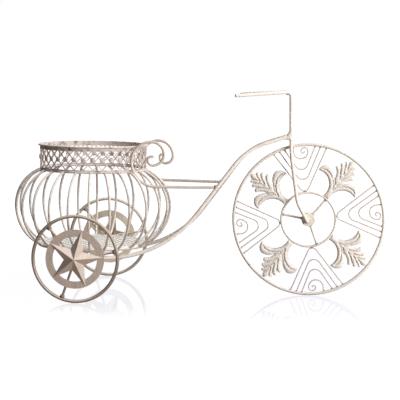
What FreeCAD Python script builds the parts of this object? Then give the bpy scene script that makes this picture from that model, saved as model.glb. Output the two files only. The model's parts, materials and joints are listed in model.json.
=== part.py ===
import FreeCAD, Part
import math
import os
import Sketcher
from FreeCAD import Placement, Rotation, Vector

os.makedirs("parts", exist_ok=True)
doc = FreeCAD.newDocument("tricycle_planter")

# Driving dimensions, in millimetres, degrees and counts.
dimensions = {
    # fits and welds
    "weld_gap": 0.2,
    "running_gap": 0.05,
    "end_play": 0.4,
    "overrun": 5,
    # stance
    "wheelbase": 460,
    "track": 386,
    # rear wheels
    "rear_wheel_radius": 90,
    "rear_rim_rod": 7,
    "rear_spoke_rod": 5,
    "rear_spoke_count": 3,
    "rear_spoke_angle": 11.3,
    "rear_hub_radius": 9,
    "rear_hub_inboard": 10,
    "rear_hub_outboard": 5,
    "star_ring_radius": 60,
    "star_ring_width": 14.6,
    "star_ring_sheet": 1.5,
    "star_points": 5,
    "star_angle": 76.5,
    "star_tip_radius": 59,
    "star_height": 13,
    "star_sheet": 1.3,
    "rear_axle_rod": 10,
    "rear_axle_end": 8.5,
    "axle_stop_radius": 9,
    "axle_stop_width": 5,
    "push_nut_radius": 8,
    "push_nut_sheet": 1.5,
    # front wheel
    "front_wheel_radius": 161,
    "front_rim_rod": 6.6,
    "front_wheel_angle": 8,
    "inner_ring_radius": 57,
    "inner_ring_rod": 5,
    "front_hub_radius": 14,
    "front_hub_length": 24,
    "front_spoke_rod": 5,
    "front_spoke_count": 3,
    "front_spoke_angle": 50,
    "front_axle_rod": 8,
    "motif_count": 4,
    "leaf_sheet": 2.6,
    "scroll_wire": 2.6,
    "arch_middle_rise": 24.5,
    "arch_inner_rise": 45.5,
    "arch_outer_angle": 21,
    "arch_middle_angle": 16.2,
    "arch_inner_angle": 12,
    "arch_outer_bend": 10,
    "arch_middle_bend": 14,
    "arch_inner_bend": 14,
    "curl_start": 13.8,
    "curl_rise": 10,
    "curl_outer_bend": 15.1,
    "curl_middle_bend": 7.2,
    "curl_inner_bend": 3.6,
    # fork and handlebar
    "fork_rod": 7,
    "fork_eye_radius": 7,
    "fork_eye_sheet": 2,
    "fork_setback": 41,
    "stem_height": 428,
    "fork_bend_rise": 137,
    "fork_bend_setback": 38.3,
    "fork_crook_rise": 36,
    "fork_crook_setback": 23.1,
    "fork_toe_setback": 3.2,
    "fork_toe_run": 6,
    "fork_bend_radius": 300,
    "fork_crook_radius": 70,
    "stem_bend_radius": 9,
    "handlebar_reach": 112,
    "handlebar_half_span": 62,
    "handlebar_drop": 8,
    # side rails
    "rail_rod": 8,
    "rail_head_height": 337.5,
    "rail_head_run": 91,
    "rail_head_angle": 18,
    "rail_knee_ahead": 162.4,
    "rail_knee_radius": 240,
    "rail_neck_radius": 135,
    "rail_rear_half_gap": 112,
    "rail_tail": 14,
    # scroll arms beside the collar
    "scroll_rod": 6,
    "scroll_half_gap": 69.5,
    "scroll_tip": 6,
    "right_scroll_height": 228,
    "right_scroll_bend_1": 52,
    "right_scroll_bend_2": 41.5,
    "right_scroll_bend_3": 26,
    "right_scroll_bend_4": 22.7,
    "right_scroll_bend_5": 11,
    "right_scroll_bend_6": 7,
    "left_scroll_height": 232.5,
    "left_scroll_bend_1": 46.5,
    "left_scroll_bend_2": 38.5,
    "left_scroll_bend_3": 32,
    "left_scroll_bend_4": 16.5,
    "left_scroll_bend_5": 13,
    "left_scroll_bend_6": 6,
    # basket
    "rib_count": 24,
    "rib_angle": 7.5,
    "rib_rod": 5,
    "bulge_radius": 167,
    "bulge_height": 181,
    "collar_radius": 113.2,
    "collar_sheet": 1.5,
    "collar_bottom": 256,
    "collar_depth": 48,
    "rim_bead": 3.4,
    "rim_lip": 3.6,
    "hem_sheet": 1.2,
    "hem_depth": 11.3,
    "hoop_rod": 4,
    "lattice_count": 36,
    "lattice_margin": 3,
    "lattice_bar": 2,
    "lattice_boss_radius": 5.2,
    "floor_ring_rod": 7,
    "floor_ring_radius": 117.3,
    "floor_sheet": 1.2,
    "floor_hole_radius": 5.2,
    "floor_hole_pitch": 14,
    "floor_margin": 7,
}

sheet = doc.addObject("Spreadsheet::Sheet", "sizes")
for row, (alias, number) in enumerate(dimensions.items(), 1):
    sheet.set(f"A{row}", alias)
    sheet.set(f"B{row}", str(number))
    sheet.setAlias(f"B{row}", alias)
doc.recompute()


def size(alias):
    return float(sheet.get(alias))


def count(alias):
    return round(size(alias))


def value(expression):
    return float(sheet.evalExpression(expression))


up = Vector(0, 0, 1)
gap = size("weld_gap")
nodes = {}
rods = {}

# Places that several pieces share. The part stands on the floor, centred under its box, with +X forward.
rib_circle = size("bulge_radius") - size("rib_rod") / 2
rib_pitch = 360 / count("rib_count")
rib_turns = [size("rib_angle") + i * rib_pitch for i in range(count("rib_count"))]
rear_reach = size("rib_rod") / 2 - rib_circle * min(math.cos(math.radians(turn)) for turn in rib_turns)
rear_x = -(size("wheelbase") + size("front_wheel_radius") - rear_reach) / 2
front_x = rear_x + size("wheelbase")
rear_axle_z = size("rear_wheel_radius")
front_axle_z = size("front_wheel_radius")
front_hub = Vector(front_x, 0, front_axle_z)


def torus(name, ring_radius, rod, centre, axis):
    ring = doc.addObject("Part::Torus", name)
    ring.setExpression("Radius1", ring_radius)
    ring.setExpression("Radius2", f"{rod} / 2")
    ring.Placement = Placement(centre, Rotation(up, axis))
    return ring


def cylinder(name, radius, length, base, axis):
    rod = doc.addObject("Part::Cylinder", name)
    rod.setExpression("Radius", radius)
    rod.setExpression("Height", length)
    rod.Placement = Placement(base, Rotation(up, axis))
    return rod


def cut(name, base, tool):
    result = doc.addObject("Part::Cut", name)
    result.Base = base
    result.Tool = tool
    return result


def tube(name, outer, bore, length, base, axis):
    wall = cylinder(name + "_outside", outer, length, base, axis)
    start = base - axis * size("overrun")
    hole = cylinder(name + "_bore", bore, f"{length} + 2 * sizes.overrun", start, axis)
    return cut(name, wall, hole)


def compound(name, pieces):
    group = doc.addObject("Part::Compound", name)
    group.Links = pieces
    return group


def mirrored(name, source):
    twin = doc.addObject("Part::Mirroring", name)
    twin.Source = source
    twin.Normal = Vector(0, 1, 0)
    return twin


def arc(start, middle, end):
    return Part.Arc(start, middle, end).toShape()


def line(start, end):
    return Part.LineSegment(start, end).toShape()


# Straight runs through the corners, with a tangent arc of the given radius at each inner corner.
def bent_wire(corners, radii):
    edges = []
    here = corners[0]
    for before, corner, after, radius in zip(corners, corners[1:], corners[2:], radii):
        back = (before - corner).normalize()
        ahead = (after - corner).normalize()
        half = back.getAngle(ahead) / 2
        middle = (back + ahead).normalize()
        start = corner + back * (radius / math.tan(half))
        end = corner + ahead * (radius / math.tan(half))
        crown = corner + middle * (radius / math.sin(half) - radius)
        edges += [line(here, start), arc(start, crown, end)]
        here = end
    edges.append(line(here, corners[-1]))
    return Part.Wire(edges)


# A round rod along a wire of tangent lines and arcs.
def rod_along(name, wire, radius):
    path = doc.addObject("Part::Feature", name + "_path")
    path.Shape = wire
    first = wire.Edges[0]
    heading = first.tangentAt(first.FirstParameter)
    section = doc.addObject("Part::Circle", name + "_section")
    section.setExpression("Radius", radius)
    section.Placement = Placement(first.valueAt(first.FirstParameter), Rotation(up, heading))
    rod = doc.addObject("Part::Sweep", name)
    rod.Sections = [section]
    rod.Spine = (path, [f"Edge{i}" for i in range(1, len(wire.Edges) + 1)])
    rod.Solid = True
    rods[name] = wire.Length * math.pi * value(radius) ** 2
    return rod


# Free ends of a rod are rounded over.
end_round_share = 0.7


def round_ends(name, rod, places):
    doc.recompute()
    result = doc.addObject("Part::Fillet", name)
    result.Base = rod
    circles = [(i, edge) for i, edge in enumerate(rod.Shape.Edges, 1) if edge.isClosed()]
    ends = []
    for place in places:
        index, rim = min(circles, key=lambda circle: (circle[1].CenterOfMass - place).Length)
        radius = end_round_share * rim.Length / (2 * math.pi)
        ends.append((index, radius, radius))
    result.Edges = ends
    return result


def sketch_on(body, plane, name):
    sketch = body.newObject("Sketcher::SketchObject", name)
    face = next(f for f in body.Origin.OriginFeatures if f.Role == plane)
    sketch.AttachmentSupport = [(face, "")]
    sketch.MapMode = "FlatFace"
    return sketch


def sketch_circle(sketch, radius):
    index = sketch.addGeometry(Part.Circle(Vector(), up, value(radius)))
    sketch.addConstraint(Sketcher.Constraint("Coincident", index, 3, -1, 1))
    limit = sketch.addConstraint(Sketcher.Constraint("Radius", index, value(radius)))
    sketch.setExpression(f"Constraints[{limit}]", radius)


# A flat ring on its own XY plane, thickening upwards.
def ring_plate(name, outer, inner, thickness):
    body = doc.addObject("PartDesign::Body", name)
    sketch = sketch_on(body, "XY_Plane", name + "_outline")
    sketch_circle(sketch, outer)
    sketch_circle(sketch, inner)
    pad = body.newObject("PartDesign::Pad", name + "_pad")
    pad.Profile = sketch
    pad.setExpression("Length", thickness)
    return body


def moved(shape, placement):
    copy = shape.copy()
    copy.Placement = placement.multiply(copy.Placement)
    return copy


# Directions in the upright plane of the wheels, measured from +X towards +Z.
def upright(degrees):
    return Vector(math.cos(math.radians(degrees)), 0, math.sin(math.radians(degrees)))


# Rear axle, with its stops and push nuts
def rear_axle():
    half = size("track") / 2 + size("rear_axle_end")
    base = Vector(rear_x, -half, rear_axle_z)
    length = "sizes.track + 2 * sizes.rear_axle_end"
    nodes["rear_axle"] = cylinder("rear_axle", "sizes.rear_axle_rod / 2", length, base, Vector(0, 1, 0))
    bore = "sizes.rear_axle_rod / 2 + sizes.running_gap"
    stop_y = size("track") / 2 - size("rear_hub_inboard") - size("end_play")
    nut_y = size("track") / 2 + size("rear_hub_outboard") + size("end_play")
    stops = []
    nuts = []
    for side in (-1, 1):
        out = Vector(0, side, 0)
        inner = Vector(rear_x, side * (stop_y - size("axle_stop_width")), rear_axle_z)
        label = f"axle_stop_{len(stops) + 1}"
        stops.append(tube(label, "sizes.axle_stop_radius", bore, "sizes.axle_stop_width", inner, out))
        outer = Vector(rear_x, side * nut_y, rear_axle_z)
        label = f"push_nut_{len(nuts) + 1}"
        nuts.append(tube(label, "sizes.push_nut_radius", bore, "sizes.push_nut_sheet", outer, out))
    nodes["axle_stops"] = compound("axle_stops", stops)
    nodes["axle_push_nuts"] = compound("axle_push_nuts", nuts)


# A pyramid over a star outline, its base on the XY plane.
def star_pyramid(name, turn):
    tip = size("star_tip_radius")
    points = count("star_points")
    valley = tip * math.cos(2 * math.pi / points) / math.cos(math.pi / points)
    apex = Vector(0, 0, size("star_height"))
    corners = []
    for i in range(2 * points):
        angle = math.radians(turn) + math.pi * i / points
        reach = valley if i % 2 else tip
        corners.append(Vector(reach * math.cos(angle), reach * math.sin(angle), 0))
    corners.append(corners[0])
    faces = [Part.Face(Part.makePolygon(corners))]
    for a, b in zip(corners, corners[1:]):
        faces.append(Part.Face(Part.makePolygon([a, b, apex, a])))
    solid = Part.makeSolid(Part.makeShell(faces))
    if solid.Volume < 0:
        solid.reverse()
    pyramid = doc.addObject("Part::Feature", name)
    pyramid.Shape = solid
    return pyramid


# One rear wheel: wire rim, three spokes, hub sleeve, flat ring and a hollow raised star facing outwards.
def rear_wheel(side_name, side):
    out = Vector(0, side, 0)
    centre = Vector(rear_x, side * size("track") / 2, rear_axle_z)
    rim_circle = "sizes.rear_wheel_radius - sizes.rear_rim_rod / 2"
    rim = torus(f"{side_name}_rim", rim_circle, "sizes.rear_rim_rod", centre, out)
    nodes[f"{side_name}_rim"] = rim

    bore = "sizes.rear_axle_rod / 2 + sizes.running_gap"
    inner = centre - out * size("rear_hub_inboard")
    hub_length = "sizes.rear_hub_inboard + sizes.rear_hub_outboard"
    hub = tube(f"{side_name}_hub", "sizes.rear_hub_radius", bore, hub_length, inner, out)
    nodes[f"{side_name}_hub"] = hub

    spokes = []
    length = "sizes.rear_wheel_radius - sizes.rear_rim_rod - sizes.rear_hub_radius - 2 * sizes.weld_gap"
    for i in range(count("rear_spoke_count")):
        ray = upright(size("rear_spoke_angle") + 360 * i / count("rear_spoke_count"))
        start = centre + ray * (size("rear_hub_radius") + gap)
        label = f"{side_name}_spoke_{i + 1}"
        spokes.append(cylinder(label, "sizes.rear_spoke_rod / 2", length, start, ray))
    nodes[f"{side_name}_spokes"] = compound(f"{side_name}_spokes", spokes)

    facing = Rotation(up, out)
    ring_base = size("rear_spoke_rod") / 2 + gap
    ring_inner = "sizes.star_ring_radius - sizes.star_ring_width"
    ring = ring_plate(f"{side_name}_star_ring", "sizes.star_ring_radius", ring_inner, "sizes.star_ring_sheet")
    ring.Placement = Placement(centre + out * ring_base, facing)
    nodes[f"{side_name}_star_ring"] = ring

    star_base = ring_base + size("star_ring_sheet") + gap
    turn = -side * size("star_angle")
    skin = star_pyramid(f"{side_name}_star_skin", turn)
    hollow = star_pyramid(f"{side_name}_star_hollow", turn)
    skin.Placement = Placement(centre + out * star_base, facing)
    hollow.Placement = Placement(centre + out * (star_base - size("star_sheet")), facing)
    nodes[f"{side_name}_star"] = cut(f"{side_name}_star", skin, hollow)


# Rim, inner ring, hub and spokes of the front wheel
def front_wheel():
    across = Vector(0, 1, 0)
    rim_circle = "sizes.front_wheel_radius - sizes.front_rim_rod / 2"
    nodes["front_rim"] = torus("front_rim", rim_circle, "sizes.front_rim_rod", front_hub, across)
    ring = torus("front_inner_ring", "sizes.inner_ring_radius", "sizes.inner_ring_rod", front_hub, across)
    nodes["front_inner_ring"] = ring
    bore = "sizes.front_axle_rod / 2 + sizes.running_gap"
    hub_end = front_hub - across * (size("front_hub_length") / 2)
    hub = tube("front_hub", "sizes.front_hub_radius", bore, "sizes.front_hub_length", hub_end, across)
    nodes["front_hub"] = hub
    spokes = []
    length = "sizes.inner_ring_radius - sizes.inner_ring_rod / 2 - sizes.front_hub_radius - 2 * sizes.weld_gap"
    for i in range(count("front_spoke_count")):
        ray = upright(size("front_spoke_angle") + 360 * i / count("front_spoke_count"))
        start = front_hub + ray * (size("front_hub_radius") + gap)
        label = f"front_spoke_{i + 1}"
        spokes.append(cylinder(label, "sizes.front_spoke_rod / 2", length, start, ray))
    nodes["front_spokes"] = compound("front_spokes", spokes)


# Half of an acanthus leaf, from the middle of its foot to its tip: shares of the leaf's length, along it and
# to one side. Each row is the end of an arc and a point that the arc passes through.
leaf_foot_share = 0.075
leaf_shares = [
    ((0.21, 0.092), (0.33, 0.185)),
    ((0.400, 0.330), (0.375, 0.505)),
    ((0.540, 0.472), (0.610, 0.365)),
    ((0.575, 0.240), (0.440, 0.112)),
    ((0.560, 0.150), (0.655, 0.250)),
    ((0.715, 0.225), (0.685, 0.140)),
    ((0.735, 0.165), (0.785, 0.212)),
    ((0.830, 0.180), (0.795, 0.098)),
    ((0.845, 0.118), (0.880, 0.150)),
    ((0.918, 0.122), (0.890, 0.062)),
    ((0.945, 0.064), (0.985, 0.036)),
]
leaf_tip_share = 1.0


def acanthus_leaf(name, turn):
    foot = size("inner_ring_radius") + size("inner_ring_rod") / 2 + gap
    rim_inside = size("front_wheel_radius") - size("front_rim_rod")
    length = rim_inside - gap - foot
    body = doc.addObject("PartDesign::Body", name)
    sketch = sketch_on(body, "XZ_Plane", name + "_outline")

    def at(shares, mirror):
        return Vector(foot + shares[0] * length, mirror * shares[1] * length, 0)

    half_foot = leaf_foot_share * length
    corner = math.sqrt(foot ** 2 - half_foot ** 2)
    for mirror in (1, -1):
        here = Vector(corner, mirror * half_foot, 0)
        for through, end in leaf_shares:
            sketch.addGeometry(Part.Arc(here, at(through, mirror), at(end, mirror)))
            here = at(end, mirror)
    tips = [at(leaf_shares[-1][1], mirror) for mirror in (1, -1)]
    sketch.addGeometry(Part.Arc(tips[0], at((leaf_tip_share, 0), 1), tips[1]))
    feet = [Vector(corner, mirror * half_foot, 0) for mirror in (1, -1)]
    sketch.addGeometry(Part.Arc(feet[0], Vector(foot, 0, 0), feet[1]))
    pad = body.newObject("PartDesign::Pad", name + "_pad")
    pad.Profile = sketch
    pad.Midplane = True
    pad.setExpression("Length", "sizes.leaf_sheet")
    body.Placement = Placement(front_hub, Rotation(Vector(0, -1, 0), turn))
    nodes[name] = body


# A point of a wheel motif: along its axis from the hub, and to one side.
def motif_point(turn, along, aside):
    return front_hub + upright(turn) * along + upright(turn + 90) * aside


# One arch: two straight legs from the rim, round an apex that points at the hub.
def arch_wire(turn, spread, apex, bend):
    foot = size("front_wheel_radius") - size("front_rim_rod") - 2 * gap
    foot_along = foot * math.cos(math.radians(spread))
    foot_aside = foot * math.sin(math.radians(spread))
    centre_along = apex + bend
    away = math.atan2(foot_aside, foot_along - centre_along)
    reach = math.hypot(foot_aside, foot_along - centre_along)
    touch = away + math.acos(bend / reach)
    touch_along = centre_along + bend * math.cos(touch)
    touch_aside = bend * math.sin(touch)
    start = motif_point(turn, foot_along, foot_aside)
    first = motif_point(turn, touch_along, touch_aside)
    crown = motif_point(turn, apex, 0)
    last = motif_point(turn, touch_along, -touch_aside)
    end = motif_point(turn, foot_along, -foot_aside)
    return Part.Wire([line(start, first), arc(first, crown, last), line(last, end)])


def nested_arches(name, turn):
    apex = size("inner_ring_radius") + size("inner_ring_rod") / 2 + size("scroll_wire") / 2 + gap
    arches = []
    rises = {"outer": 0, "middle": size("arch_middle_rise"), "inner": size("arch_inner_rise")}
    for place, rise in rises.items():
        spread = size(f"arch_{place}_angle")
        bend = size(f"arch_{place}_bend")
        wire = arch_wire(turn, spread, apex + rise, bend)
        arches.append(rod_along(f"{name}_{place}", wire, "sizes.scroll_wire / 2"))
    nodes[name] = compound(name, arches)


# A curl that leaves the rim, turns over and rolls up inside itself by half turns.
def rim_curl(name, turn):
    rim_inside = size("front_wheel_radius") - size("front_rim_rod") - 2 * gap
    aside = size("curl_start")
    level = rim_inside - size("curl_rise")
    start = motif_point(turn, math.sqrt(rim_inside ** 2 - aside ** 2), aside)
    here = motif_point(turn, level, aside)
    edges = [line(start, here)]
    side = -1
    for place in ("outer", "middle", "inner"):
        bend = size(f"curl_{place}_bend")
        crown = motif_point(turn, level + side * bend, aside + side * bend)
        end = motif_point(turn, level, aside + 2 * side * bend)
        edges.append(arc(here, crown, end))
        here = end
        aside += 2 * side * bend
        side = -side
    nodes[name] = rod_along(name, Part.Wire(edges), "sizes.scroll_wire / 2")


# The front axle is welded at each end into an eye, and the eyes to the insides of the fork legs.
eye_base = size("front_hub_length") / 2 + size("end_play")
leg_toe_aside = eye_base + size("fork_eye_sheet") + gap + size("fork_rod") / 2


def front_axle():
    half = eye_base + size("fork_eye_sheet")
    length = "sizes.front_hub_length + 2 * sizes.end_play + 2 * sizes.fork_eye_sheet"
    start = front_hub - Vector(0, half, 0)
    nodes["front_axle"] = cylinder("front_axle", "sizes.front_axle_rod / 2", length, start, Vector(0, 1, 0))
    bore = "sizes.front_axle_rod / 2 + sizes.running_gap"
    for side_name, side in (("right", -1), ("left", 1)):
        out = Vector(0, side, 0)
        base = front_hub + out * eye_base
        eye = tube(f"fork_eye_{side_name}", "sizes.fork_eye_radius", bore, "sizes.fork_eye_sheet", base, out)
        nodes[f"fork_eye_{side_name}"] = eye


# How far a fork leg stands out from the middle plane at a height: it spreads down to the crook.
def leg_aside(height):
    top = size("fork_rod") / 2 + gap / 2
    crook_z = front_axle_z + size("fork_crook_rise")
    drop = (size("stem_height") - height) / (size("stem_height") - crook_z)
    return top + drop * (leg_toe_aside - top)


# Handlebar, stem and fork leg are one bent rod on each side. Its toe passes outside the axle's eye.
def fork_rods():
    stem_x = front_x - size("fork_setback")

    def leg(setback, height):
        return Vector(front_x - setback, -leg_aside(height), height)

    grip_x = stem_x - size("handlebar_reach")
    grip = Vector(grip_x, -size("handlebar_half_span"), size("stem_height") - size("handlebar_drop"))
    top = leg(size("fork_setback"), size("stem_height"))
    bend = leg(size("fork_bend_setback"), front_axle_z + size("fork_bend_rise"))
    crook = leg(size("fork_crook_setback"), front_axle_z + size("fork_crook_rise"))
    beside_axle = Vector(front_x - size("fork_toe_setback"), -leg_toe_aside, front_axle_z)
    toe = beside_axle + (beside_axle - crook).normalize() * size("fork_toe_run")
    radii = [size("stem_bend_radius"), size("fork_bend_radius"), size("fork_crook_radius")]
    rod = rod_along("fork_bar", bent_wire([grip, top, bend, crook, toe], radii), "sizes.fork_rod / 2")
    nodes["fork_rod_right"] = round_ends("fork_rod_right", rod, [grip, toe])
    nodes["fork_rod_left"] = mirrored("fork_rod_left", nodes["fork_rod_right"])


# Corners of a side rail: tail under the axle, knee, neck and the stem that it butts against.
def rail_corners():
    tail_z = rear_axle_z - size("rear_axle_rod") / 2 - size("rail_rod") / 2 - gap
    head_z = size("rail_head_height")
    bend_z = front_axle_z + size("fork_bend_rise")
    share = (size("stem_height") - head_z) / (size("stem_height") - bend_z)
    setback = size("fork_setback") + share * (size("fork_bend_setback") - size("fork_setback"))
    head = Vector(front_x - setback, -leg_aside(head_z), head_z)
    slope = (head.y + size("rail_rear_half_gap")) / (head.x - rear_x)

    def on_plan(x, z):
        return Vector(x, head.y - slope * (head.x - x), z)

    tail = on_plan(rear_x - size("rail_tail"), tail_z)
    knee = on_plan(rear_x + size("rail_knee_ahead"), tail_z)
    neck_drop = size("rail_head_run") * math.tan(math.radians(size("rail_head_angle")))
    neck = on_plan(head.x - size("rail_head_run"), head_z - neck_drop)
    return tail, knee, neck, head


def side_rails():
    tail, knee, neck, head = rail_corners()
    slope = math.radians(size("rail_head_angle"))
    setoff = size("fork_rod") / 2 + gap + size("rail_rod") / 2 * math.sin(slope)
    end = head + (neck - head).normalize() * (setoff / math.cos(slope))
    radii = [size("rail_knee_radius"), size("rail_neck_radius")]
    rod = rod_along("rail_bar", bent_wire([tail, knee, neck, end], radii), "sizes.rail_rod / 2")
    nodes["side_rail_right"] = round_ends("side_rail_right", rod, [tail])
    nodes["side_rail_left"] = mirrored("side_rail_left", nodes["side_rail_right"])


# A scroll arm runs back from the rail, touches the side of the collar and rolls up in quarter turns. The arms
# are bent by hand, so each has bends of its own.
def scroll_arm(side_name, side):
    across = Vector(1, -side, 1)
    tail, knee, neck, head = (corner.scale(*across) for corner in rail_corners())
    level = size(f"{side_name}_scroll_height")
    start = knee + (neck - knee) * ((level - knee.z) / (neck.z - knee.z))
    touch_radius = size("collar_radius") + size("scroll_rod") / 2 + gap
    touch_y = size("scroll_half_gap")
    touch = Vector(rear_x + math.sqrt(touch_radius ** 2 - touch_y ** 2), side * touch_y, level)
    forward = (start - touch).normalize()
    headings = [-forward, up, forward, -up]
    here = touch + forward * size(f"{side_name}_scroll_bend_1")
    edges = [line(start, here)]
    for i in range(6):
        bend = size(f"{side_name}_scroll_bend_{i + 1}")
        along = headings[i % 4]
        turn = headings[(i + 1) % 4]
        half = math.sqrt(0.5)
        crown = here + along * (bend * half) + turn * (bend - bend * half)
        end = here + along * bend + turn * bend
        edges.append(arc(here, crown, end))
        here = end
    tip = here + forward * size("scroll_tip")
    edges.append(line(here, tip))
    bar = rod_along(f"{side_name}_scroll_bar", Part.Wire(edges), "sizes.scroll_rod / 2")
    rounded = round_ends(f"{side_name}_scroll_rounded", bar, [tip])
    rail = bent_wire([knee, neck], [])
    cope = rod_along(f"{side_name}_scroll_cope", rail, "sizes.rail_rod / 2 + sizes.weld_gap")
    nodes[f"scroll_arm_{side_name}"] = cut(f"scroll_arm_{side_name}", rounded, cope)


# Basket
basket = Vector(rear_x, 0, 0)
collar_inside = size("collar_radius") - size("collar_sheet")
hem_outside = collar_inside - gap
hem_inside = hem_outside - size("hem_sheet")
hoop_circle = size("collar_radius") - size("collar_sheet") / 2
hoop_z = size("collar_bottom") + size("hoop_rod") / 2
band_bottom = hoop_z + size("hoop_rod") / 2 + gap
band_top = band_bottom + size("collar_depth")
lip_bottom = band_top + gap
floor_ring_circle = size("floor_ring_radius") - size("floor_ring_rod") / 2
floor_ring_z = rear_axle_z + size("rear_axle_rod") / 2 + gap + size("floor_ring_rod") / 2


def revolved(name, edges):
    body = doc.addObject("PartDesign::Body", name)
    sketch = sketch_on(body, "XZ_Plane", name + "_section")
    for edge in edges:
        sketch.addGeometry(edge)
    turn = body.newObject("PartDesign::Revolution", name + "_turn")
    turn.Profile = sketch
    turn.ReferenceAxis = (sketch, ["V_Axis"])
    turn.Angle = 360
    body.Placement = Placement(basket, Rotation())
    return body


# The rim: a lip that stands out over the collar, with a plain hem that hangs inside it.
def basket_rim():
    half_lip = size("rim_bead") / 2
    top = lip_bottom + size("rim_bead")
    foot = lip_bottom - size("hem_depth")
    nose = size("collar_radius") + size("rim_lip") - half_lip
    corners = [
        Vector(nose, lip_bottom, 0),
        Vector(hem_outside, lip_bottom, 0),
        Vector(hem_outside, foot, 0),
        Vector(hem_inside, foot, 0),
        Vector(hem_inside, top, 0),
        Vector(nose, top, 0),
    ]
    edges = [Part.LineSegment(a, b) for a, b in zip(corners, corners[1:])]
    edges.append(Part.Arc(corners[-1], Vector(nose + half_lip, top - half_lip, 0), corners[0]))
    nodes["basket_rim"] = revolved("basket_rim", edges)


# Where a straight bar edge meets a boss of the given centre.
def boss_crossing(corner, tip, centre, radius):
    along = (tip - corner).normalize()
    foot = corner + along * (centre - corner).dot(along)
    rise = (centre - foot).Length
    return foot - along * math.sqrt(radius ** 2 - rise ** 2)


# Openings of the pierced lattice: diagonal bars cross between round bosses. Each opening is a closed wire
# across the radius, with the turn of its column in shares of the pitch.
def lattice_openings(inside, middle):
    pitch = 2 * math.pi * size("collar_radius") / count("lattice_count")
    wide = pitch / 2
    tall = (size("collar_depth") - 2 * size("lattice_margin")) / 4
    slant = math.hypot(wide, tall)
    inset_wide = wide - size("lattice_bar") / 2 * slant / tall
    inset_tall = tall - size("lattice_bar") / 2 * slant / wide
    boss = size("lattice_boss_radius")

    def at(aside, height):
        return Vector(inside, aside, middle + height)

    openings = []
    for way in (1, -1):
        crown = at(0, way * (tall + inset_tall))
        corners = [at(side * inset_wide, way * tall) for side in (1, -1)]
        inner = at(0, way * (tall - inset_tall))
        ends = [boss_crossing(corner, inner, at(0, 0), boss) for corner in corners]
        edges = [line(crown, corners[0]), line(corners[0], ends[0]), arc(ends[0], at(0, way * boss), ends[1])]
        edges += [line(ends[1], corners[1]), line(corners[1], crown)]
        openings.append((0, Part.Wire(edges)))
        edge = 2 * tall
        point = at(0, way * (edge - inset_tall))
        corners = [point, at(inset_wide, way * edge), at(-inset_wide, way * edge), point]
        openings.append((0.5, Part.makePolygon(corners)))

    tips = [at(0, inset_tall), at(0, -inset_tall)]
    edges = []
    for side in (1, -1):
        centre = at(side * wide, 0)
        ends = [boss_crossing(tip, at(side * inset_wide, 0), centre, boss) for tip in tips]
        bulge = at(side * (wide - boss), 0)
        edges += [line(tips[0], ends[0]), arc(ends[0], bulge, ends[1]), line(ends[1], tips[1])]
    openings.append((0.5, Part.Wire(Part.__sortEdges__(edges))))
    return openings


def collar_band():
    base = basket + up * band_bottom
    bore = "sizes.collar_radius - sizes.collar_sheet"
    ring = tube("collar_ring", "sizes.collar_radius", bore, "sizes.collar_depth", base, up)
    inside = collar_inside - size("overrun")
    depth = Vector(size("collar_sheet") + 2 * size("overrun"), 0, 0)
    step = 360 / count("lattice_count")
    punches = []
    for column_share, wire in lattice_openings(inside, (band_top + band_bottom) / 2):
        punch = Part.Face(wire).extrude(depth)
        for i in range(count("lattice_count")):
            punches.append(moved(punch, Placement(basket, Rotation(up, (i + column_share) * step))))
    lattice = doc.addObject("Part::Feature", "collar_punches")
    lattice.Shape = Part.makeCompound(punches)
    nodes["collar_band"] = cut("collar_band", ring, lattice)


# Radius of the arc that leaves the bulge upright and reaches a point so far in and so far up or down.
def bulge_arc(inward, rise):
    return (inward ** 2 + rise ** 2) / (2 * inward)


# A rib swells from the floor ring to the bulge and back in to the collar's hoop, and butts against both.
def basket_ribs():
    def half_rib(ring_circle, ring_z, ring_rod):
        bend = bulge_arc(rib_circle - ring_circle, abs(ring_z - size("bulge_height")))
        centre = rib_circle - bend
        sense = math.copysign(1, ring_z - size("bulge_height"))
        full = math.asin(abs(ring_z - size("bulge_height")) / bend)
        stop = full - 2 * math.asin((size(ring_rod) / 2 + gap) / bend / 2)

        def at(angle):
            height = size("bulge_height") + sense * bend * math.sin(angle)
            return Vector(centre + bend * math.cos(angle), 0, height)

        return [at(0), at(stop / 2), at(stop)]

    upper = half_rib(hoop_circle, hoop_z, "hoop_rod")
    lower = half_rib(floor_ring_circle, floor_ring_z, "floor_ring_rod")
    wire = Part.Wire([arc(lower[2], lower[1], lower[0]), arc(upper[0], upper[1], upper[2])])
    rib = rod_along("basket_rib", wire, "sizes.rib_rod / 2")
    doc.recompute()
    copies = []
    for turn in rib_turns:
        copies.append(moved(rib.Shape, Placement(basket, Rotation(up, turn))))
    ribs = doc.addObject("Part::Feature", "basket_ribs")
    ribs.Shape = Part.makeCompound(copies)
    nodes["basket_ribs"] = ribs


# The floor: a sheet with rows of round holes, laid on its ring.
def basket_floor():
    centre = basket + Vector(0, 0, floor_ring_z)
    ring = "sizes.floor_ring_radius - sizes.floor_ring_rod / 2"
    nodes["floor_ring"] = torus("floor_ring", ring, "sizes.floor_ring_rod", centre, up)
    pitch = size("floor_hole_pitch")
    row_step = pitch * math.sin(math.radians(60))
    reach = floor_ring_circle - size("floor_margin") - size("floor_hole_radius")
    rows = int(reach / row_step)
    outline = [Part.Wire(Part.makeCircle(floor_ring_circle))]
    for row in range(-rows, rows + 1):
        shift = pitch / 2 * (row % 2)
        across = int(reach / pitch) + 1
        for column in range(-across, across + 1):
            place = Vector(column * pitch + shift, row * row_step, 0)
            if place.Length <= reach:
                outline.append(Part.Wire(Part.makeCircle(size("floor_hole_radius"), place)))
    floor = doc.addObject("Part::Feature", "floor_mesh")
    floor.Shape = Part.Face(outline, "Part::FaceMakerBullseye").extrude(up * size("floor_sheet"))
    top = floor_ring_z + size("floor_ring_rod") / 2 + gap
    floor.Placement = Placement(basket + up * top, Rotation())
    nodes["floor_mesh"] = floor


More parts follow.
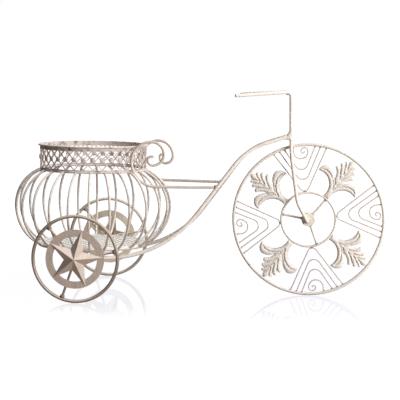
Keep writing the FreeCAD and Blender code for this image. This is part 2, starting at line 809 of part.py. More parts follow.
rear_axle()
rear_wheel("right", -1)
rear_wheel("left", 1)
front_wheel()
quarter = 360 / count("motif_count")
for number in range(count("motif_count")):
    axis_turn = size("front_wheel_angle") + quarter * number
    acanthus_leaf(f"acanthus_leaf_{number + 1}", axis_turn + quarter / 2)
    nested_arches(f"nested_arches_{number + 1}", axis_turn)
    rim_curl(f"rim_curl_{number + 1}", axis_turn)
front_axle()
fork_rods()
side_rails()
scroll_arm("right", -1)
scroll_arm("left", 1)
basket_rim()
collar_band()
hoop_ring = "sizes.collar_radius - sizes.collar_sheet / 2"
nodes["collar_hoop"] = torus("collar_hoop", hoop_ring, "sizes.hoop_rod", basket + up * hoop_z, up)
basket_ribs()
basket_floor()
doc.recompute()

for item in doc.Objects:
    if "Invalid" in item.State or "Error" in item.State:
        raise RuntimeError(f"{item.Name} did not rebuild: {item.State}")
for name, node in nodes.items():
    node.Label = name
    if node.Shape.isNull() or not node.Shape.isValid() or not node.Shape.Solids:
        raise RuntimeError(f"{name} is not a valid solid")
for name, expected in rods.items():
    volume = doc.getObject(name).Shape.Volume
    if abs(volume - expected) > 0.001 * expected:
        raise RuntimeError(f"{name} is not its section times its length: {volume:.1f}, {expected:.1f}")
plain_ring = math.pi * (size("collar_radius") ** 2 - collar_inside ** 2) * (band_top - band_bottom)
if nodes["collar_band"].Shape.Volume > 0.9 * plain_ring:
    raise RuntimeError("the lattice did not cut the collar")

for name, node in nodes.items():
    node.Shape.exportStep(f"parts/{name}.step")
print(len(nodes), "sub-parts,", sum(len(n.Shape.Solids) for n in nodes.values()), "solids")
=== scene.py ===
import json
import math
import bpy
import numpy as np
from mathutils import Matrix, Vector


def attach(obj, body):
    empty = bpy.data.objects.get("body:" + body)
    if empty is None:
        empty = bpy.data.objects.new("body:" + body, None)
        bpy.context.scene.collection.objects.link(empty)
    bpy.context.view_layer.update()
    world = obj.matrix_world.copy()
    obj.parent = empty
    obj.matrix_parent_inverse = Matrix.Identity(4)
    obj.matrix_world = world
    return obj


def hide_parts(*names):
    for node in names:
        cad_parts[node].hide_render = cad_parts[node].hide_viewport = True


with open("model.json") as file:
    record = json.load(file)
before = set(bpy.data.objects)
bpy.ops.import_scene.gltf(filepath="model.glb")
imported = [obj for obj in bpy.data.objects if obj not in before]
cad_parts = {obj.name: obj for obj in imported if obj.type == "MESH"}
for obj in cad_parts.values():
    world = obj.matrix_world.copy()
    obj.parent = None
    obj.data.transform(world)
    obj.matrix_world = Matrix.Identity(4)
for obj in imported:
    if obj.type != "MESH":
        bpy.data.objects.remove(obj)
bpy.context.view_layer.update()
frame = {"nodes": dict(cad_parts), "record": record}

scene = bpy.context.scene
nodes = frame["nodes"]
print("frame loaded:", len(nodes), "nodes")

# shared places, metres
joints = frame["record"]["behaviour"]["joints"]
jointPlaces = {joint["name"]: Vector(joint["pos_m"]) for joint in joints}
frontHub = jointPlaces["front_wheel_spin"]
halfTrack = jointPlaces["rear_left_spin"].y
rearHub = jointPlaces["rear_left_spin"] - Vector((0, halfTrack, 0))

ahead = Vector((1, 0, 0))
leftward = Vector((0, 1, 0))
above = Vector((0, 0, 1))
outwardOf = {"right": -1, "left": 1}  # way out along Y on each side
smoothDegrees = 60
mergeReach = 0.000001


# a screen colour, 0 to 255, as the renderer's linear colour by the sRGB curve
def linear(red, green, blue):
    def channel(value):
        share = value / 255
        if share <= 0.04045:
            return share / 12.92
        return ((share + 0.055) / 1.055) ** 2.4
    return (channel(red), channel(green), channel(blue), 1)


def wire(tree, fromNode, output, toNode, socket):
    tree.links.new(fromNode.outputs[output], toNode.inputs[socket])


def makeNode(tree, kind, label, **settings):
    node = tree.nodes.new(kind)
    node.label = label
    for key, setting in settings.items():
        setattr(node, key, setting)
    return node


def findNode(tree, kind):
    return next(node for node in tree.nodes if node.type == kind)


def makeNoise(tree, label, source, scale, detail):
    node = makeNode(tree, "ShaderNodeTexNoise", label)
    node.inputs["Scale"].default_value = scale
    node.inputs["Detail"].default_value = detail
    wire(tree, source, "Vector", node, "Vector")
    return node


# a soft step: a value over one span becomes a value over another
def makeRange(tree, label, source, output, span, result):
    node = makeNode(tree, "ShaderNodeMapRange", label, interpolation_type="SMOOTHSTEP")
    node.inputs["From Min"].default_value = span[0]
    node.inputs["From Max"].default_value = span[1]
    node.inputs["To Min"].default_value = result[0]
    node.inputs["To Max"].default_value = result[1]
    wire(tree, source, output, node, "Value")
    return node


# the greater or the product of two values, each given as a node and its output
def makeMath(tree, label, operation, first, second):
    node = makeNode(tree, "ShaderNodeMath", label, operation=operation)
    wire(tree, first[0], first[1], node, 0)
    wire(tree, second[0], second[1], node, 1)
    return node


# the colour sockets of a mix node are reached by number, because its sockets share names
colourMix = {"first": 6, "second": 7, "result": 2}

# aged paint: broad rubbed clouds, fine specks and a grainy height
agedForm = {
    "cloudScale": 90, "cloudDetail": 6, "cloudEdge": (0.45, 0.80),
    "speckScale": 800, "speckDetail": 3, "speckEdge": (0.55, 0.75), "speckShare": 0.25,
    "sheenEdge": (0.3, 0.7), "sheen": (0.42, 0.66), "specular": 0.2, "grainHeight": 0.0004,
}
agedSockets = [
    ("Vector", "INPUT", "NodeSocketVector"),
    ("Paint", "INPUT", "NodeSocketColor"),
    ("Shade", "INPUT", "NodeSocketColor"),
    ("Rub", "INPUT", "NodeSocketFloat"),
    ("ShadeAndStreaks", "INPUT", "NodeSocketFloat"),
    ("Color", "OUTPUT", "NodeSocketColor"),
    ("Roughness", "OUTPUT", "NodeSocketFloat"),
    ("Height", "OUTPUT", "NodeSocketFloat"),
]


def buildAgedPaint():
    form = agedForm
    group = bpy.data.node_groups.new("agedPaint", "ShaderNodeTree")
    for name, way, kind in agedSockets:
        group.interface.new_socket(name, in_out=way, socket_type=kind)
    start = group.nodes.new("NodeGroupInput")
    end = group.nodes.new("NodeGroupOutput")
    broad = makeNoise(group, "rubbed clouds", start, form["cloudScale"], form["cloudDetail"])
    fine = makeNoise(group, "specks", start, form["speckScale"], form["speckDetail"])
    cloud = makeRange(group, "cloud edge", broad, "Fac", form["cloudEdge"], (0, 1))
    speck = makeRange(group, "speck edge", fine, "Fac", form["speckEdge"], (0, form["speckShare"]))
    both = makeMath(group, "clouds and specks", "MAXIMUM", (cloud, "Result"), (speck, "Result"))
    rub = makeMath(group, "rub amount", "MULTIPLY", (both, "Value"), (start, "Rub"))
    # a last input darkens further: painted shade on the leaves, brush streaks on brushed metal
    total = makeMath(group, "rub and recess", "MAXIMUM", (rub, "Value"), (start, "ShadeAndStreaks"))
    mix = makeNode(group, "ShaderNodeMix", "paint over shade", data_type="RGBA")
    wire(group, total, "Value", mix, "Factor")
    wire(group, start, "Paint", mix, colourMix["first"])
    wire(group, start, "Shade", mix, colourMix["second"])
    wire(group, mix, colourMix["result"], end, "Color")
    rough = makeRange(group, "sheen", fine, "Fac", form["sheenEdge"], form["sheen"])
    wire(group, rough, "Result", end, "Roughness")
    wire(group, fine, "Fac", end, "Height")
    return group


agedPaint = buildAgedPaint()


# the last argument names a piece's point attribute of painted shade, where it has one: darker grooves and a
# band along the edges
def agedMaterial(name, paint, shade, rub, metallic=0, grain=0.1, paintedShade=None):
    material = bpy.data.materials.new(name)
    material.use_nodes = True
    tree = material.node_tree
    shader = tree.nodes["Principled BSDF"]
    shader.inputs["Metallic"].default_value = metallic
    shader.inputs["Specular IOR Level"].default_value = agedForm["specular"]
    coords = makeNode(tree, "ShaderNodeTexCoord", "object place")
    group = makeNode(tree, "ShaderNodeGroup", "aged paint", node_tree=agedPaint)
    group.inputs["Paint"].default_value = linear(*paint)
    group.inputs["Shade"].default_value = linear(*shade)
    group.inputs["Rub"].default_value = rub
    wire(tree, coords, "Object", group, "Vector")
    # painted shade from the piece's point attribute
    if paintedShade:
        mark = makeNode(tree, "ShaderNodeAttribute", "paintedShade", attribute_name=paintedShade)
        wire(tree, mark, "Fac", group, "ShadeAndStreaks")
    wire(tree, group, "Color", shader, "Base Color")
    wire(tree, group, "Roughness", shader, "Roughness")
    height = makeNode(tree, "ShaderNodeBump", "grain")
    height.inputs["Strength"].default_value = grain
    height.inputs["Distance"].default_value = agedForm["grainHeight"]
    wire(tree, group, "Height", height, "Height")
    wire(tree, height, "Normal", shader, "Normal")
    return material


# brushed metal: fine streaks across the face, brown outside and beige behind
brushForm = {
    "rub": 0.5, "turn": 35, "stretch": (900, 60, 40), "detail": 3,
    "streakEdge": (0.4, 0.75), "streakDark": 0.55, "sheenEdge": (0.3, 0.7), "sheenSpread": 0.06,
    "innerEdge": (0, 0.5), "behind": (250, 240, 222),
}


def brushedMaterial(name, outward, paint, shade, metallic, gloss):
    form = brushForm
    material = agedMaterial(name, paint, shade, form["rub"], metallic)
    tree = material.node_tree
    shader = tree.nodes["Principled BSDF"]
    coords = findNode(tree, "TEX_COORD")
    group = findNode(tree, "GROUP")
    stretch = makeNode(tree, "ShaderNodeMapping", "streaks")
    stretch.inputs["Rotation"].default_value = (0, math.radians(form["turn"]), 0)
    stretch.inputs["Scale"].default_value = form["stretch"]
    wire(tree, coords, "Object", stretch, "Vector")
    streak = makeNoise(tree, "brush marks", stretch, 1, form["detail"])
    mark = makeRange(tree, "brush edge", streak, "Fac", form["streakEdge"], (0, form["streakDark"]))
    wire(tree, mark, "Result", group, "ShadeAndStreaks")
    sheenSpan = (gloss - form["sheenSpread"], gloss + form["sheenSpread"])
    sheen = makeRange(tree, "brushed sheen", streak, "Fac", form["sheenEdge"], sheenSpan)
    wire(tree, sheen, "Result", shader, "Roughness")
    split = makeNode(tree, "ShaderNodeSeparateXYZ", "face")
    wire(tree, coords, "Normal", split, "Vector")
    inward = makeNode(tree, "ShaderNodeMath", "inner side", operation="MULTIPLY")
    inward.inputs[1].default_value = -outward
    wire(tree, split, "Y", inward, 0)
    inner = makeRange(tree, "inner face", inward, "Value", form["innerEdge"], (0, 1))
    pale = makeNode(tree, "ShaderNodeMix", "paler behind", data_type="RGBA")
    pale.inputs[colourMix["second"]].default_value = linear(*form["behind"])
    wire(tree, inner, "Result", pale, "Factor")
    wire(tree, group, "Color", pale, colourMix["first"])
    wire(tree, pale, colourMix["result"], shader, "Base Color")
    return material


# finishes, colours 0 to 255: the paint, the shade it is rubbed to and how far
creamShade = (178, 160, 142)
brown = (128, 108, 92)
agedFinishes = {
    "framePaint": {"paint": (238, 230, 221), "shade": creamShade, "rub": 0.4},
    "basketPaint": {"paint": (250, 242, 234), "shade": (150, 131, 118), "rub": 0.5, "metallic": 0.5},
    "floorPaint": {"paint": (255, 253, 250), "shade": (238, 230, 221), "rub": 0.3},
    "scrollPaint": {"paint": (217, 205, 194), "shade": creamShade, "rub": 0.4},
    "collarPaint": {"paint": (250, 237, 229), "shade": (86, 68, 64), "rub": 0.8, "metallic": 0.65},
    "frontWheelPaint": {"paint": (234, 226, 217), "shade": creamShade, "rub": 0.4},
    "archPaint": {"paint": (210, 198, 188), "shade": creamShade, "rub": 0.15},
    # the leaves take painted shade from their point attribute
    "leafPaint": {"paint": (240, 234, 227), "shade": brown, "rub": 0.15, "paintedShade": "paintedShade"},
    "axleSteel": {"paint": (206, 194, 180), "shade": brown, "rub": 0.8, "metallic": 0.2},
    "weldBead": {"paint": (176, 159, 143), "shade": brown, "rub": 0.9, "metallic": 0.1, "grain": 0.6},
}
# rear weld beads: one bead, with the left (far) wheel's painted lighter than the right's to offset the
# shade it sits in
rearWeldLitAndShaded = {
    "right": {"paint": (150, 133, 118), "shade": (96, 80, 70), "rub": 0.9, "metallic": 0.1, "grain": 0.6},
    "left": {"paint": (196, 182, 168), "shade": (150, 133, 118), "rub": 0.9, "metallic": 0.1, "grain": 0.6},
}
rearFinishes = {
    "Wire": {"paint": (222, 205, 190), "shade": (166, 147, 132), "metallic": 0.85, "gloss": 0.3},
    "Sheet": {"paint": (220, 203, 190), "shade": (166, 147, 134), "metallic": 0.15, "gloss": 0.54},
    "Star": {"paint": (248, 232, 220), "shade": (220, 203, 190), "metallic": 0.65, "gloss": 0.42},
}

mats = {name: agedMaterial(name, **finish) for name, finish in agedFinishes.items()}
rearMats = {}
for side, outward in outwardOf.items():
    rearMats[side] = {"Weld": agedMaterial(side + "RearWeldBead", **rearWeldLitAndShaded[side])}
    for kind, finish in rearFinishes.items():
        rearMats[side][kind] = brushedMaterial(side + "Rear" + kind, outward, **finish)

nodeFinishes = {
    "basket_rim": "collarPaint", "collar_band": "collarPaint", "collar_hoop": "collarPaint",
    "floor_mesh": "floorPaint", "basket_ribs": "basketPaint", "floor_ring": "basketPaint",
    "rear_axle": "axleSteel", "axle_stops": "axleSteel", "axle_push_nuts": "axleSteel",
}
familyFinishes = {
    "nested_": "archPaint", "rim_curl": "archPaint", "front_": "frontWheelPaint",
    "acanthus": "leafPaint", "scroll_arm": "scrollPaint",
}


def materialOf(name):
    side = name.split("_")[0]
    if side in rearMats:
        if name.endswith("star_ring"):
            return rearMats[side]["Sheet"]
        if name.endswith("star"):
            return rearMats[side]["Star"]
        return rearMats[side]["Wire"]
    if name in nodeFinishes:
        return mats[nodeFinishes[name]]
    for family, finish in familyFinishes.items():
        if name.startswith(family):
            return mats[finish]
    return mats["framePaint"]


for name, node in nodes.items():
    for materialSlot in node.material_slots:
        materialSlot.material = materialOf(name)
print("materials on", len(nodes), "nodes")


def clearSelection():
    bpy.ops.object.select_all(action="DESELECT")


def makeActive(piece):
    clearSelection()
    piece.select_set(True)
    bpy.context.view_layer.objects.active = piece


# a new object with a copy of a CAD mesh: corners merged, shading left to the angle
def copyNode(name, nodeName):
    piece = bpy.data.objects.new(name, nodes[nodeName].data.copy())
    scene.collection.objects.link(piece)
    makeActive(piece)
    bpy.ops.object.mode_set(mode="EDIT")
    bpy.ops.mesh.select_all(action="SELECT")
    bpy.ops.mesh.remove_doubles(threshold=mergeReach)
    bpy.ops.object.mode_set(mode="OBJECT")
    bpy.ops.mesh.customdata_custom_splitnormals_clear()
    return piece


def smooth(piece, degrees=smoothDegrees):
    makeActive(piece)
    bpy.ops.object.shade_smooth_by_angle(angle=math.radians(degrees))


# copies of one base shape, each with its own mesh, joined at the origin
def repeatJoined(name, base, matrices, material):
    copies = []
    for matrix in matrices:
        copy = base.copy()
        copy.data = base.data.copy()
        copy.matrix_world = matrix
        scene.collection.objects.link(copy)
        copies.append(copy)
    bpy.data.objects.remove(base)
    clearSelection()
    for copy in copies:
        copy.select_set(True)
    bpy.context.view_layer.objects.active = copies[0]
    bpy.ops.object.join()
    piece = bpy.context.view_layer.objects.active
    bpy.ops.object.transform_apply(location=True, rotation=True, scale=True)
    piece.name = name
    piece.data.materials.clear()
    piece.data.materials.append(material)
    smooth(piece)
    return piece


# a ray from a wheel's middle, in the wheel's plane
def upright(degrees):
    angle = math.radians(degrees)
    return Vector((math.cos(angle), 0, math.sin(angle)))


# a ray from the basket's middle, level
def level(degrees):
    angle = math.radians(degrees)
    return Vector((math.cos(angle), math.sin(angle), 0))


# acanthus leaf: the plate with domed lobes and cut veins, with painted shade in the veins and along the
# volutes' inner edge where a rolled edge would turn under; lengths in metres
leafForm = {
    "count": 4, "turn": 53, "foot": 0.0597, "length": 0.0945, "voxel": 0.0006, "plateHalf": 0.0013,
    "outlineStep": 0.0006, "faceLean": -0.99, "batch": 4000,
    "edge": 0.0005, "dome": 0.0044, "domeReach": 0.0080, "least": 0.0007,
    # groove: the veins' depth and width, then the darkness of painted shade in them; roll: the width of a
    # band of painted shade along the volutes' inner edge, then its darkness
    "groove": 0.0024, "grooveWidth": 0.0015, "grooveRise": 1.5, "grooveLeast": 0.35, "grooveShade": 0.3,
    "roll": 0.0026, "rollShade": 0.5, "softenTimes": 6, "softenShare": 0.5,
}
# lines on half a leaf, as shares of its length: along from the foot, then aside; shade is painted along the
# first, under the volutes' inner edge, and in the veins that follow, which are also cut
leafRollShade = [(0.06, 0.077), (0.21, 0.092), (0.33, 0.185), (0.40, 0.33), (0.385, 0.46)]
leafGrooves = [
    [(0.22, 0.006), (0.31, 0.032), (0.41, 0.135), (0.478, 0.265), (0.485, 0.375), (0.455, 0.435)],
    [(0.445, 0.112), (0.40, 0.062), (0.35, 0.02)],
    [(0.685, 0.135), (0.60, 0.072), (0.50, 0.018)],
    [(0.795, 0.095), (0.72, 0.048), (0.63, 0.012)],
    [(0.89, 0.060), (0.82, 0.030), (0.75, 0.008)],
]


def distanceToLine(points, line):
    best = np.full(len(points), np.inf)
    for start, end in zip(line, line[1:]):
        origin = np.array(start)
        run = np.array(end) - origin
        share = np.clip(((points - origin) @ run) / (run @ run), 0, 1)
        best = np.minimum(best, np.linalg.norm(points - origin - share[:, None] * run, axis=1))
    return best


# points along the plate's edge, from the edges that one front face alone uses
def leafOutline(mesh, along, aside):
    uses = {}
    for face in mesh.polygons:
        if face.normal.y < leafForm["faceLean"]:
            for key in face.edge_keys:
                uses[key] = uses.get(key, 0) + 1
    outline = []
    for key, times in uses.items():
        if times > 1:
            continue
        start, end = (mesh.vertices[index].co - frontHub for index in key)
        steps = max(1, round((end - start).length / leafForm["outlineStep"]))
        for step in range(steps):
            point = start.lerp(end, step / steps)
            outline.append((point.dot(along), point.dot(aside)))
    return np.array(outline)


def buildLeaf():
    form = leafForm
    along = upright(form["turn"])
    aside = upright(form["turn"] + 90)
    plate = copyNode("leafShape", "acanthus_leaf_1")
    outline = leafOutline(plate.data, along, aside)
    remesh = plate.modifiers.new("dense", "REMESH")
    remesh.mode = "VOXEL"
    remesh.voxel_size = form["voxel"]
    bpy.ops.object.modifier_apply(modifier="dense")
    mesh = plate.data
    corners = np.empty(len(mesh.vertices) * 3)
    mesh.vertices.foreach_get("co", corners)
    corners = corners.reshape(-1, 3) - np.array(frontHub)
    flat = np.stack([corners @ np.array(along), corners @ np.array(aside)], axis=1)
    toEdge = np.empty(len(flat))
    batch = form["batch"]
    for first in range(0, len(flat), batch):
        gaps = np.linalg.norm(flat[first:first + batch, None, :] - outline[None], axis=2)
        toEdge[first:first + batch] = gaps.min(axis=1)
    share = (flat - np.array((form["foot"], 0))) / form["length"]
    share[:, 1] = np.abs(share[:, 1])
    rise = np.clip(toEdge / form["domeReach"], 0, 1)
    relief = form["edge"] + form["dome"] * np.sqrt(1 - (1 - rise) ** 2)
    # painted shade, 0 to 1, darkest in the cut veins and along the volutes' inner edge
    paintedShade = np.zeros(len(flat))
    depth = form["groove"] * np.clip(rise * form["grooveRise"], form["grooveLeast"], 1)
    for line in leafGrooves:
        near = distanceToLine(share, line) * form["length"]
        cut = np.exp(-(near / form["grooveWidth"]) ** 2)
        relief -= depth * cut
        paintedShade = np.maximum(paintedShade, form["grooveShade"] * cut)
    # a band of painted shade along the volutes' inner edge, where a rolled edge would turn under
    near = distanceToLine(share, leafRollShade) * form["length"]
    under = np.exp(-(near / form["roll"]) ** 2)
    paintedShade = np.maximum(paintedShade, form["rollShade"] * under)
    skin = np.clip(corners[:, 1] / form["plateHalf"], -1, 1)
    corners[:, 1] = skin * np.maximum(relief, form["least"])
    corners += np.array(frontHub)
    mesh.vertices.foreach_set("co", corners.reshape(-1))
    attribute = mesh.attributes.new("paintedShade", "FLOAT", "POINT")
    attribute.data.foreach_set("value", paintedShade)
    mesh.materials.clear()
    mesh.materials.append(mats["leafPaint"])
    mesh.update()
    soften = plate.modifiers.new("soften", "SMOOTH")
    soften.iterations = form["softenTimes"]
    soften.factor = form["softenShare"]
    makeActive(plate)
    bpy.ops.object.modifier_apply(modifier="soften")
    return plate


leafShape = buildLeaf()
for number in range(leafForm["count"]):
    leaf = leafShape.copy()
    leaf.data = leafShape.data.copy()
    leaf.name = f"leaf_{number + 1}"
    scene.collection.objects.link(leaf)
    turn = Matrix.Rotation(math.radians(-360 * number / leafForm["count"]), 4, "Y")
    leaf.matrix_world = Matrix.Translation(frontHub) @ turn @ Matrix.Translation(-frontHub)
    makeActive(leaf)
    bpy.ops.object.transform_apply(location=True, rotation=True, scale=True)
    smooth(leaf)
    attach(leaf, "front_wheel")
    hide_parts(f"acanthus_leaf_{number + 1}")
bpy.data.objects.remove(leafShape)
print("leaves carved")


# weld beads: lumpy flattened drops where rods meet
weldForm = {"detail": 3, "lump": 0.12, "xWave": 4.1, "xShift": 1.3, "zWave": 3.7, "zShift": 0.4,
            "ripple": 0.06, "yWave": 9}


def weldBase():
    form = weldForm
    clearSelection()
    bpy.ops.mesh.primitive_ico_sphere_add(subdivisions=form["detail"], radius=1)
    drop = bpy.context.object
    for vertex in drop.data.vertices:
        point = vertex.co
        swell = math.sin(form["xWave"] * point.x + form["xShift"])
        swell *= math.cos(form["zWave"] * point.z + form["zShift"])
        ripple = math.sin(form["yWave"] * point.y)
        vertex.co = point * (1 + form["lump"] * swell + form["ripple"] * ripple)
    return drop


# bead: its half width across the axis, then its half length along it
def weldAt(place, axis, bead):
    turn = above.rotation_difference(axis).to_matrix().to_4x4()
    across, along = bead
    return Matrix.Translation(place) @ turn @ Matrix.Diagonal((across, across, along, 1))


rearWelds = {
    "spokes": 3, "spokeTurn": 11.3, "rimAt": 0.0816, "rimBead": (0.0052, 0.0046),
    "hubAt": 0.0096, "hubBead": (0.0036, 0.0022),
}
for side, outward in outwardOf.items():
    form = rearWelds
    centre = rearHub + outward * halfTrack * leftward
    spots = []
    for number in range(form["spokes"]):
        ray = upright(form["spokeTurn"] + 360 * number / form["spokes"])
        spots.append(weldAt(centre + ray * form["rimAt"], ray, form["rimBead"]))
        spots.append(weldAt(centre + ray * form["hubAt"], ray, form["hubBead"]))
    bead = repeatJoined(side + "_welds", weldBase(), spots, rearMats[side]["Weld"])
    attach(bead, "rear_wheel_" + side)

# feet: degrees from a motif's middle to its arches' ends; curlAside: metres to its curl's foot
frontWelds = {
    "spokes": 3, "spokeTurn": 50, "ringAt": 0.0540, "ringBead": (0.0034, 0.0026),
    "hubAt": 0.0144, "hubBead": (0.0036, 0.0022), "motifs": 4, "motifTurn": 8, "feet": (21, 16.2, 12),
    "rimAt": 0.1540, "footBead": (0.0022, 0.0018), "tipAt": 0.0595, "tipBead": (0.0030, 0.0014),
    "curlAside": 0.0138,
}
form = frontWelds
spots = []
for number in range(form["spokes"]):
    ray = upright(form["spokeTurn"] + 360 * number / form["spokes"])
    spots.append(weldAt(frontHub + ray * form["ringAt"], ray, form["ringBead"]))
    spots.append(weldAt(frontHub + ray * form["hubAt"], ray, form["hubBead"]))
curlTurn = math.degrees(math.asin(form["curlAside"] / form["rimAt"]))
for number in range(form["motifs"]):
    middle = form["motifTurn"] + 360 * number / form["motifs"]
    for spread in form["feet"]:
        for way in (1, -1):
            ray = upright(middle + way * spread)
            spots.append(weldAt(frontHub + ray * form["rimAt"], ray, form["footBead"]))
    ray = upright(middle)
    spots.append(weldAt(frontHub + ray * form["tipAt"], ray, form["tipBead"]))
    ray = upright(middle + curlTurn)
    spots.append(weldAt(frontHub + ray * form["rimAt"], ray, form["footBead"]))
bead = repeatJoined("front_welds", weldBase(), spots, mats["weldBead"])
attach(bead, "front_wheel")


# middle of the end of a rod, from its corners within reach of the farthest one
def endOf(name, way, reach):
    corners = [vertex.co for vertex in nodes[name].data.vertices]
    far = max(corner.dot(way) for corner in corners)
    near = [corner for corner in corners if corner.dot(way) > far - reach]
    return sum(near, Vector()) / len(near)


# places on the axle are ahead, outward and above its middle; hoops are radius and height
frameWelds = {
    "armReach": 0.004, "armBead": (0.0046, 0.0034),
    "railAt": (0.0046, 0.1120, -0.0048), "railBead": (0.0040, 0.0030),
    "ringAt": (0.0042, 0.1138, 0.0050), "ringBead": (0.0038, 0.0030),
    "stemReach": 0.002, "stemTop": 0.4255, "stemBead": (0.0046, 0.0040),
    "ribs": 24, "ribTurn": 7.5, "hoops": ((0.1142, 0.2566), (0.1163, 0.1006)), "ribBead": (0.0031, 0.0024),
}
form = frameWelds
spots = []
for side, outward in outwardOf.items():
    arm = endOf("scroll_arm_" + side, ahead, form["armReach"])
    spots.append(weldAt(arm, ahead, form["armBead"]))
    for step in (-1, 1):
        for kind in ("rail", "ring"):
            forth, out, rise = form[kind + "At"]
            place = rearHub + Vector((step * forth, outward * out, rise))
            spots.append(weldAt(place, above, form[kind + "Bead"]))
stem = endOf("fork_rod_right", above, form["stemReach"])
spots.append(weldAt(Vector((stem.x, 0, form["stemTop"])), above, form["stemBead"]))
for number in range(form["ribs"]):
    ray = level(form["ribTurn"] + 360 * number / form["ribs"])
    for radius, height in form["hoops"]:
        place = Vector((rearHub.x, 0, height)) + ray * radius
        spots.append(weldAt(place, above, form["ribBead"]))
bead = repeatJoined("frame_welds", weldBase(), spots, mats["weldBead"])
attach(bead, "frame")

# the filled weld where a rail flares out to the stem
flareForm = {
    "corners": 48, "cuts": 7, "rail": 0.0042, "stem": 0.0105, "length": 0.0105, "flat": 0.42, "bell": 2.2,
    "turn": 18, "sink": 0.0022, "endReach": 0.002,
}


def flareBase():
    form = flareForm
    clearSelection()
    bpy.ops.mesh.primitive_cylinder_add(vertices=form["corners"], radius=1, depth=1)
    flare = bpy.context.object
    bpy.ops.object.mode_set(mode="EDIT")
    bpy.ops.mesh.select_all(action="SELECT")
    bpy.ops.mesh.subdivide(number_cuts=form["cuts"])
    bpy.ops.object.mode_set(mode="OBJECT")
    for vertex in flare.data.vertices:
        point = vertex.co
        share = point.z + 0.5
        spread = form["rail"] + (form["stem"] - form["rail"]) * share ** form["bell"]
        thick = form["rail"] + (form["stem"] * form["flat"] - form["rail"]) * share
        vertex.co = Vector((point.x * spread, point.y * thick, (share - 1) * form["length"]))
    return flare


spots = []
for side in outwardOf:
    head = endOf("side_rail_" + side, ahead, flareForm["endReach"])
    way = upright(flareForm["turn"])
    turn = Matrix((leftward.cross(way), leftward, way)).transposed().to_4x4()
    spots.append(Matrix.Translation(head + way * flareForm["sink"]) @ turn)
flares = repeatJoined("rail_flares", flareBase(), spots, mats["framePaint"])
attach(flares, "frame")
print("weld beads set")


# rim with a hem that stops short of the collar's upper openings
rimForm = {"hemFoot": 0.2995, "hemEnd": 0.3015, "smooth": 40}
rim = copyNode("rim_lip", "basket_rim")
for vertex in rim.data.vertices:
    if vertex.co.z < rimForm["hemFoot"]:
        vertex.co.z = rimForm["hemEnd"]
smooth(rim, rimForm["smooth"])
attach(rim, "frame")
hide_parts("basket_rim")
print("rim set")


# collar rosettes: a round boss with eight petals round a button; shares of radius and rise
rosetteForm = {
    "count": 36, "collar": 0.1132, "height": 0.2842, "radius": 0.0052, "rise": 0.0019,
    "segments": 48, "rings": 16, "petals": 8, "scallop": 0.10, "dome": 0.55,
    "crest": 0.45, "crestAt": 0.62, "crestWidth": 0.22, "crestWave": 0.25,
    "button": 0.5, "buttonWidth": 0.24, "back": 0.15,
}


def rosetteBase():
    form = rosetteForm
    clearSelection()
    bpy.ops.mesh.primitive_uv_sphere_add(segments=form["segments"], ring_count=form["rings"], radius=1)
    boss = bpy.context.object
    for vertex in boss.data.vertices:
        point = vertex.co
        ring = math.hypot(point.x, point.y)
        wave = math.cos(form["petals"] * math.atan2(point.y, point.x))
        spread = (1 + form["scallop"] * wave * ring) * form["radius"]
        dome = math.sqrt(max(0, 1 - ring ** 2))
        crest = math.exp(-((ring - form["crestAt"]) / form["crestWidth"]) ** 2)
        crest *= 1 - form["crestWave"] + form["crestWave"] * wave
        button = math.exp(-(ring / form["buttonWidth"]) ** 2)
        lift = form["dome"] * dome + form["crest"] * crest + form["button"] * button
        if point.z <= 0:
            lift *= -form["back"]
        vertex.co = Vector((point.x * spread, point.y * spread, lift * form["rise"]))
    return boss


spots = []
for number in range(rosetteForm["count"]):
    ray = level(360 * number / rosetteForm["count"])
    place = Vector((rearHub.x, 0, rosetteForm["height"])) + ray * rosetteForm["collar"]
    turn = above.rotation_difference(ray).to_matrix().to_4x4()
    spots.append(Matrix.Translation(place) @ turn)
rosettes = repeatJoined("collar_rosettes", rosetteBase(), spots, mats["collarPaint"])
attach(rosettes, "frame")
print("rosettes set")


# floor: it lights as a plain pale floor, and the camera sees white with a faint mirror image
floorForm = {
    "size": 12, "drop": 0.0003, "pale": (156, 145, 137), "mirror": 0.90, "mirrorTint": (0.80, 0.79, 1, 1),
    "glow": (1.11, 1.11, 1.14, 1), "nearWhite": 0.70, "farSpan": (0.40, 1.3), "frontSpan": (-0.46, -0.16),
}


# share: a number, or a node and its output
def mixShaders(tree, label, share, first, second):
    mix = makeNode(tree, "ShaderNodeMixShader", label)
    if isinstance(share, float):
        mix.inputs[0].default_value = share
    else:
        wire(tree, share[0], share[1], mix, 0)
    wire(tree, first, 0, mix, 1)
    wire(tree, second, 0, mix, 2)
    return mix


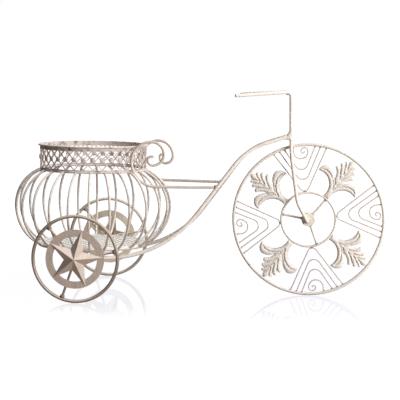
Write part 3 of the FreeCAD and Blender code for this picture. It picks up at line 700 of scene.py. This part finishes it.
def floorMaterial():
    form = floorForm
    material = bpy.data.materials.new("studioFloor")
    material.use_nodes = True
    tree = material.node_tree
    tree.nodes.remove(tree.nodes["Principled BSDF"])
    plain = makeNode(tree, "ShaderNodeBsdfDiffuse", "pale floor")
    plain.inputs["Color"].default_value = linear(*form["pale"])
    mirror = makeNode(tree, "ShaderNodeBsdfGlossy", "mirror image")
    mirror.inputs["Color"].default_value = form["mirrorTint"]
    mirror.inputs["Roughness"].default_value = 0
    glow = makeNode(tree, "ShaderNodeEmission", "white ground")
    glow.inputs["Color"].default_value = form["glow"]
    path = makeNode(tree, "ShaderNodeLightPath", "what sees it")
    coords = makeNode(tree, "ShaderNodeTexCoord", "floor place")
    away = makeNode(tree, "ShaderNodeVectorMath", "way from the middle", operation="LENGTH")
    wire(tree, coords, "Object", away, 0)
    split = makeNode(tree, "ShaderNodeSeparateXYZ", "floor axes")
    wire(tree, coords, "Object", split, "Vector")
    white = form["nearWhite"]
    far = makeRange(tree, "white far off", away, "Value", form["farSpan"], (white, 1))
    front = makeRange(tree, "white in front", split, "Y", form["frontSpan"], (1, white))
    fade = makeMath(tree, "white share", "MAXIMUM", (far, "Result"), (front, "Result"))
    polished = mixShaders(tree, "polish", form["mirror"], plain, mirror)
    seen = mixShaders(tree, "polish or white", (fade, "Value"), polished, glow)
    both = mixShaders(tree, "seen or lit", (path, "Is Camera Ray"), plain, seen)
    wire(tree, both, 0, findNode(tree, "OUTPUT_MATERIAL"), "Surface")
    return material


clearSelection()
bpy.ops.mesh.primitive_plane_add(size=floorForm["size"], location=(0, 0, -floorForm["drop"]))
floor = bpy.context.object
floor.name = "studio_floor"
floor.data.materials.append(floorMaterial())

# world: white to the camera and the floor's mirror, a low warm light on the pieces,
# and in their rough shine white with a dark flag on the left
worldForm = {
    "warm": (255, 226, 204), "low": 0.06, "lean": (1, 0, 0.5), "flagSpan": (-0.4, -0.12), "flagDark": 0.05,
}


def buildWorld():
    form = worldForm
    world = bpy.data.worlds.new("studioWorld")
    scene.world = world
    world.use_nodes = True
    tree = world.node_tree
    back = findNode(tree, "BACKGROUND")
    path = makeNode(tree, "ShaderNodeLightPath", "what sees it")
    cameraRay = (path, "Is Camera Ray")
    seen = makeMath(tree, "camera or shine", "MAXIMUM", cameraRay, (path, "Is Glossy Ray"))
    tint = makeNode(tree, "ShaderNodeMix", "warm shade or white", data_type="RGBA")
    tint.inputs[colourMix["first"]].default_value = linear(*form["warm"])
    tint.inputs[colourMix["second"]].default_value = (1, 1, 1, 1)
    wire(tree, seen, "Value", tint, "Factor")
    wire(tree, tint, colourMix["result"], back, "Color")
    coords = makeNode(tree, "ShaderNodeTexCoord", "direction")
    lean = makeNode(tree, "ShaderNodeVectorMath", "from left to right", operation="DOT_PRODUCT")
    lean.inputs[1].default_value = form["lean"]
    wire(tree, coords, "Generated", lean, 0)
    flag = makeRange(tree, "dark flag on the left", lean, "Value", form["flagSpan"], (form["flagDark"], 1))
    sharp = makeMath(tree, "camera or floor mirror", "MAXIMUM", cameraRay, (path, "Is Singular Ray"))
    flagged = makeMath(tree, "flag for rough shine alone", "MAXIMUM", (sharp, "Value"), (flag, "Result"))
    glow = makeRange(tree, "world level", seen, "Value", (0, 1), (form["low"], 1))
    strength = makeMath(tree, "level under the flag", "MULTIPLY", (glow, "Result"), (flagged, "Value"))
    wire(tree, strength, "Value", back, "Strength")


buildWorld()

# lamps: places and widths in metres, power in watts
lampAim = Vector((0, 0, 0.2))
lamps = {
    "key": {"place": (2.1, -1.45, 0.85), "width": 1.0, "power": 74},
    "side": {"place": (1.7, 0.9, 1.5), "width": 1.0, "power": 36},
    "top": {"place": (0.1, -0.2, 1.5), "width": 0.8, "power": 4},
}
for name, form in lamps.items():
    lamp = bpy.data.lights.new(name, "AREA")
    lamp.size = form["width"]
    lamp.energy = form["power"]
    holder = bpy.data.objects.new(name, lamp)
    holder.location = form["place"]
    aim = lampAim - Vector(form["place"])
    holder.rotation_euler = aim.to_track_quat("-Z", "Y").to_euler()
    holder.visible_camera = False
    holder.visible_glossy = False
    scene.collection.objects.link(holder)

# camera fitted to the photo; eye and aim are measured from under the rear axle's middle
cameraForm = {
    "lens": 133.624, "sensor": 36, "eye": (0.58582, -3.11245, 0.49586), "aim": (0.22984, 0, 0.196698),
    "roll": 0.719,
}
camera = bpy.data.cameras.new("photoCamera")
camera.lens = cameraForm["lens"]
camera.sensor_width = cameraForm["sensor"]
holder = bpy.data.objects.new("photoCamera", camera)
aim = Vector(cameraForm["aim"]) - Vector(cameraForm["eye"])
roll = Matrix.Rotation(math.radians(cameraForm["roll"]), 3, "Z")
tilt = aim.to_track_quat("-Z", "Y").to_matrix() @ roll
holder.location = Vector((rearHub.x, 0, 0)) + Vector(cameraForm["eye"])
holder.rotation_euler = tilt.to_euler()
scene.collection.objects.link(holder)
scene.camera = holder
scene.view_settings.view_transform = "Standard"
print("studio set")
